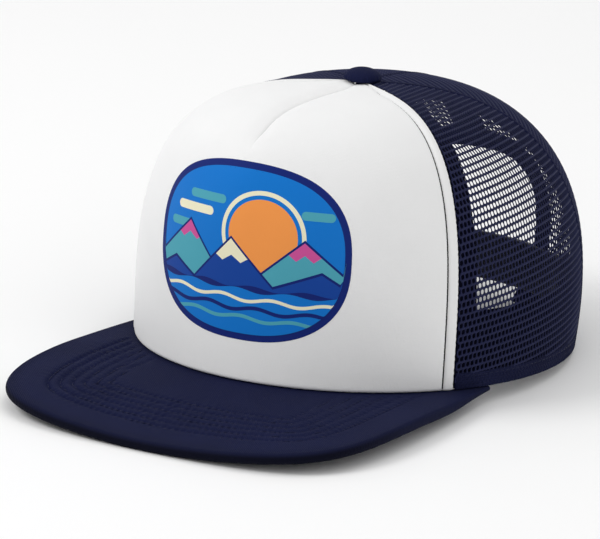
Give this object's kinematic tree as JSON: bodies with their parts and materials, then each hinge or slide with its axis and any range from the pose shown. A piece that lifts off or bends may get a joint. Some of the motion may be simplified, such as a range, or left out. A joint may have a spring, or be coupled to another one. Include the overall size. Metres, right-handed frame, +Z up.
{
  "type": "trucker hat",
  "caption": "Trucker hat with a foam front panel, mesh sides and back, a flat peak and a plastic snap strap across the back opening.",
  "frame": {"origin": "on the surface that the hat rests on, under the middle of its bounding box", "axes": "+Z up, the peak points along -Y, the wearer's left side is at +X"},
  "size_m": [0.1728, 0.2616, 0.1142],
  "materials": {
    "foam_front": "smooth white polyester over foam",
    "navy_mesh": "navy polyester mesh",
    "navy_cloth": "navy brushed twill",
    "sweatband_cloth": "navy cotton",
    "seam_tape": "navy woven tape",
    "snap_plastic": "satin navy plastic"
  },
  "bodies": {
    "root": {"front_panel": "foam_front", "mesh_side_left": "navy_mesh", "mesh_side_right": "navy_mesh", "mesh_back_left": "navy_mesh", "mesh_back_right": "navy_mesh", "opening_binding": "navy_cloth", "peak": "navy_cloth", "button": "navy_cloth", "sweatband": "sweatband_cloth", "tape_front_left": "seam_tape", "tape_front_right": "seam_tape", "tape_side_left": "seam_tape", "tape_side_right": "seam_tape", "tape_back": "seam_tape", "strap_pegs": "snap_plastic", "strap_holes": "snap_plastic"}
  },
  "joints": []
}
